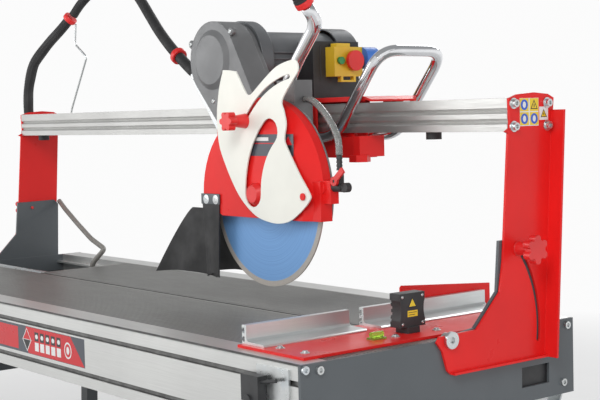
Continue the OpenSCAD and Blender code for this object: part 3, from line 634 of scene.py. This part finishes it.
# Each flap's upper and lower edge, in millimetres from the blade's centre
STRIP = (((-193, -28, 6), (-129, -28, 6)), ((-178, -30, -166), (-137, -30, -166)))
SKIRT = (((-233, -25, -23), (-140, -25, -23)), ((-352, -47, -167), (-150, -26, -167)))
BACK_SKIRT = (((-186, 15, 0), (-130, 15, 0)), ((-250, 53, -167), (-62, 38, -165)))


RUBBER_THICKNESS = 3


def flap(name, edges, bulge):
    """A rubber sheet that flares and waves backwards below its clamp."""
    wide, tall = 36, 36
    top, foot = edges
    sheet = []
    for j in range(tall + 1):
        v = j / tall
        spread = max(0.0, v - 0.15) / 0.85
        for i in range(wide + 1):
            u = i / wide
            a = Vector(top[0]).lerp(Vector(top[1]), u)
            b = Vector(foot[0]).lerp(Vector(foot[1]), u)
            p = a.lerp(b, v)
            p.x = a.x + (b.x - a.x) * v ** 0.8
            wave = 0.5 + 0.5 * math.cos(2.2 * math.pi * u - 0.6)
            p.y += bulge * math.sin(math.pi * u) * spread ** 1.5 * wave
            p.z += 7 * spread * math.sin(math.pi * u)
            sheet.append(p)
    points = [at_head(*p) for p in sheet] + [at_head(p.x, p.y + RUBBER_THICKNESS, p.z) for p in sheet]
    row = wide + 1
    size = row * (tall + 1)
    faces = []
    for j in range(tall):
        for i in range(wide):
            a = j * row + i
            faces.append((a, a + 1, a + row + 1, a + row))
            faces.append((size + a, size + a + row, size + a + row + 1, size + a + 1))
    rim = [i for i in range(row)] + [j * row + wide for j in range(1, tall + 1)]
    rim += [tall * row + i for i in range(wide - 1, -1, -1)] + [j * row for j in range(tall - 1, 0, -1)]
    for a, b in zip(rim, rim[1:] + rim[:1]):
        faces.append((a, size + a, size + b, b))
    obj = new_mesh(name, points, faces, [FINISH["black_rubber"]], smooth=True)
    split = obj.modifiers.new("edges", "EDGE_SPLIT")
    split.split_angle = math.radians(40)
    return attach(obj, "head")


def clamp_plate(name, low, high, finish):
    """A thin steel strip with rounded edges, between two corners given from the blade's centre."""
    corners = [(x, y, z) for x in (low[0], high[0]) for y in (low[1], high[1]) for z in (low[2], high[2])]
    faces = [(0, 1, 3, 2), (4, 6, 7, 5), (0, 4, 5, 1), (2, 3, 7, 6), (0, 2, 6, 4), (1, 5, 7, 3)]
    obj = new_mesh(name, [at_head(*c) for c in corners], faces, [finish], smooth=True)
    rounding = obj.modifiers.new("rounding", "BEVEL")
    rounding.width = 0.0009
    rounding.segments = 3
    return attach(obj, "head")


strip = flap("splash_strip_front", STRIP, 3)
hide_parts("splash_flaps")
flap("splash_skirt_front", SKIRT, 16)
flap("splash_skirt_back", BACK_SKIRT, 9)
clamp_plate("flap_clamp_front", (-194, -29, -14), (-128, -27, 8), FINISH["dark_grey_paint"])
clamp_plate("flap_clamp_back", (-188, 18, -12), (-128, 20, 4), FINISH["dark_grey_paint"])

# ---------------------------------------------------------------- labels

def pictogram(x, z, size, paper, sign):
    """A round or square warning tile with a plain sign, and no lettering."""
    half = size / 2
    layer = 1
    tile = [(oblong(x - half, z - half, x + half, z + half), paper, layer)]
    if sign == "disc":
        tile.append((ring(half * 0.84, half * 0.84, (x, z)), "blue", layer + 1))
        tile.append((ring(half * 0.36, half * 0.5, (x, z)), "white", layer + 2))
    else:
        for wide, low, high, ink in ((0.85, 0.7, 0.8, "black"), (0.6, 0.56, 0.5, "yellow")):
            corners = [(x - half * wide, z - half * low), (x + half * wide, z - half * low),
                       (x, z + half * high)]
            layer += 1
            tile.append((corners, ink, layer))
        mark = oblong(x - half * 0.1, z - half * 0.4, x + half * 0.1, z + half * 0.1)
        tile.append((mark, "black", layer + 1))
    return tile


def front_label():
    """Sheet on the front profile: slate ends, a red band, and rows of plain tiles."""
    face = at_table(0, -325, 0)
    shapes = [([(-250, -97), (252, -97), (252, -39), (-250, -39)], "slate", 0)]
    shapes.append(([(12, -96), (250, -96), (196, -40), (4, -40), (-8, -68)], "red", 1))
    shapes.append(([(-248, -92), (-34, -92), (-34, -44), (-248, -44)], "red", 1))
    shapes.append(([(-14, -68), (6, -93), (26, -68), (6, -43)], "white", 2))
    shapes.append(([(-11, -68), (6, -90), (23, -68)], "black", 3))
    shapes.append(([(-11, -67), (6, -46), (23, -67)], "red", 3))
    for i in range(5):
        x = 50 + i * 24
        shapes.append((oblong(x - 8.5, -67, x + 8.5, -48), "black", 2))
        shapes.append((ring(6, 5, (x, -57.5), 16), "white", 3))
        shapes.append((oblong(x - 8.5, -88, x + 8.5, -70), "white", 2))
    shapes.append((ring(15, 17, (184, -70)), "white", 2))
    shapes.append((ring(12, 13.5, (184, -70)), "red", 3))
    shapes.append((ring(6, 8, (184, -70)), "white", 4))
    label("front_label", face, RIGHT, UP, shapes, "chassis")


def guard_label():
    shapes = [(oblong(-20, 88, 119, 131), "slate", 0)]
    shapes.append((oblong(-14, 112, 62, 114), "red", 1))
    shapes.append((oblong(-14, 118, 40, 125), "white", 1))
    shapes.append(([(91, 109), (103, 92), (115, 109)], "black", 1))
    shapes.append(([(91, 110), (115, 110), (103, 127)], "red", 1))
    label("guard_label", at_head(0, -25, 0), RIGHT, UP, shapes, "head")


def column_labels():
    """Four tiles and a small triangle near the top of the right column."""
    face = Vector((at_table(942, 0, 0).x, CUT_Y, TABLE_Z))
    shapes = [(oblong(186, 362, 236, 412), "white", 0)]
    for x, z, sign in ((198, 400, "disc"), (224, 400, "triangle"), (198, 375, "disc"), (224, 375, "disc")):
        shapes += pictogram(x, z, 23, "yellow", sign)
    shapes.append((oblong(238, 372, 262, 396), "white", 0))
    shapes += pictogram(250, 384, 20, "white", "triangle")
    label("column_label", face, BACK, UP, shapes, "bridge")


def laser_labels():
    face = at_table(863, -12, 0)
    shapes = [([(-11, 50), (11, 50), (0, 69)], "black", 0), ([(-8, 52), (8, 52), (0, 65.5)], "yellow", 1)]
    shapes.append((oblong(-12, 34, 12, 45), "yellow", 0))
    shapes.append((oblong(-10, 41, 10, 42), "black", 1))
    shapes.append((oblong(-10, 37, 6, 38), "black", 1))
    label("laser_label", face, BACK, UP, shapes, "chassis")


front_label()
guard_label()
column_labels()
laser_labels()

# ---------------------------------------------------------------- small fittings

def laser_screws():
    for y in (-36, 12):
        for z in (22, 70):
            cap_screw(f"laser_screw_{y}_{z}", at_table(862.9, y, z), RIGHT, 0.0028, "chassis", 0.0015)


def motor_details():
    """Three cast lugs with screws round one of the motor's covers."""
    cover = at_head(-220, 28, 289)
    for i in range(3):
        turn = math.radians(40 + i * 115)
        spot = cover + Vector((math.cos(turn) * 0.088, 0.0, math.sin(turn) * 0.088))
        lug = lathe(f"cover_lug_{i}", spot + Vector((0, 0.010, 0)), FRONT,
                    [(0, 0.009), (0.008, 0.009), (0.0095, 0.0075), (0.0095, 0.0005)],
                    FINISH["cast_aluminium"])
        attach(lug, "head")
        cap_screw(f"cover_screw_{i}", spot + Vector((0, 0.0006, 0)), FRONT, 0.0055, "head", 0.003)


def clamp_screws():
    """Flat screws and thin washers on the front rubber flap, so the guard plate swings past them."""
    for i, x in enumerate((-176, -142)):
        washer = lathe(f"flap_washer_{i}", at_head(x, -28.9, -4), FRONT,
                       [(0, 0.0098), (0.0002, 0.0098), (0.0003, 0.0092), (0.0003, 0.004)],
                       FINISH["zinc_steel"])
        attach(washer, "head")
        cap_screw(f"flap_screw_{i}", at_head(x, -29.0, -4), FRONT, 0.0065, "head", 0.0007)


laser_screws()
motor_details()
clamp_screws()

# ---------------------------------------------------------------- studio

def floor():
    """A pale round floor that fades into the backdrop."""
    sides = 96
    size = 30.0
    points = [(size * math.cos(2 * math.pi * k / sides), size * math.sin(2 * math.pi * k / sides), -0.0005)
              for k in range(sides)]
    r = Recipe("studio_floor")
    r.colour(r.ramp(r.noise(3), ((0.3, (0.80, 0.80, 0.80)), (0.7, (0.83, 0.83, 0.83)))))
    r.roughness(r.span(r.noise(5), 0.75, 0.9))
    glow = r.nodes.new("ShaderNodeEmission")
    glow.inputs["Color"].default_value = (0.97, 0.97, 0.97, 1)
    mix = r.nodes.new("ShaderNodeMixShader")
    r.links.new(r.span(r.distance((0, 0, 0)), 0.0, 1.0, 1.4, 5.0), mix.inputs["Fac"])
    r.links.new(r.shader.outputs["BSDF"], mix.inputs[1])
    r.links.new(glow.outputs[0], mix.inputs[2])
    r.links.new(mix.outputs[0], r.nodes["Material Output"].inputs["Surface"])
    new_mesh("studio_floor", points, [tuple(range(sides))], [r.material])


def soft_light(name, place, aim, size, power):
    lamp = bpy.data.lights.new(name, "AREA")
    lamp.shape = "DISK"
    lamp.size = size
    lamp.energy = power
    obj = bpy.data.objects.new(name, lamp)
    obj.location = place
    obj.rotation_mode = "QUATERNION"
    obj.rotation_quaternion = (Vector(aim) - Vector(place)).to_track_quat("-Z", "Y")
    bpy.context.scene.collection.objects.link(obj)


def studio():
    floor()
    world = bpy.data.worlds.new("studio")
    world.use_nodes = True
    tree = world.node_tree
    height = tree.nodes.new("ShaderNodeSeparateXYZ")
    tree.links.new(tree.nodes.new("ShaderNodeTexCoord").outputs["Generated"], height.inputs[0])
    sky = tree.nodes.new("ShaderNodeValToRGB")
    sky.color_ramp.elements[0].position = 0.14
    sky.color_ramp.elements[0].color = (0.97, 0.97, 0.97, 1)
    sky.color_ramp.elements[1].position = 0.5
    sky.color_ramp.elements[1].color = (0.34, 0.345, 0.35, 1)
    tree.links.new(height.outputs["Z"], sky.inputs["Fac"])
    tree.links.new(sky.outputs["Color"], tree.nodes["Background"].inputs["Color"])
    bpy.context.scene.world = world
    bpy.context.scene.view_settings.view_transform = "Standard"
    soft_light("key", (2.6, -2.6, 3.2), (0.2, 0, 0.9), 1.6, 62)
    soft_light("fill", (-2.4, -2.8, 2.0), (0, 0, 0.9), 2.2, 30)
    soft_light("rim", (-0.8, 3.0, 2.8), (0, 0, 0.9), 1.8, 40)


# The photograph's camera: angles in degrees, its place in millimetres from the table's frame
AZIMUTH = 51.41
ELEVATION = 3.73
ROLL = -1.5
LENS = 79.02
SENSOR_WIDTH = 36
CAMERA_PLACE = (2536.8, -1594, 393.8)


def camera():
    """Stands where the photograph was taken from: right of the front, just above the table."""
    azimuth, elevation, roll = (math.radians(a) for a in (AZIMUTH, ELEVATION, ROLL))
    ahead = Vector((-math.sin(azimuth) * math.cos(elevation), math.cos(azimuth) * math.cos(elevation),
                    -math.sin(elevation)))
    right = Vector((math.cos(azimuth), math.sin(azimuth), 0))
    up = right.cross(ahead)
    tilted_right = right * math.cos(roll) + up * math.sin(roll)
    tilted_up = up * math.cos(roll) - right * math.sin(roll)
    lens = bpy.data.cameras.new("camera")
    lens.sensor_width = SENSOR_WIDTH
    lens.lens = LENS
    obj = bpy.data.objects.new("camera", lens)
    turn = Matrix((tilted_right, tilted_up, -ahead)).transposed()
    obj.matrix_world = Matrix.Translation(at_table(*CAMERA_PLACE)) @ turn.to_4x4()
    bpy.context.scene.collection.objects.link(obj)
    bpy.context.scene.camera = obj


studio()
camera()
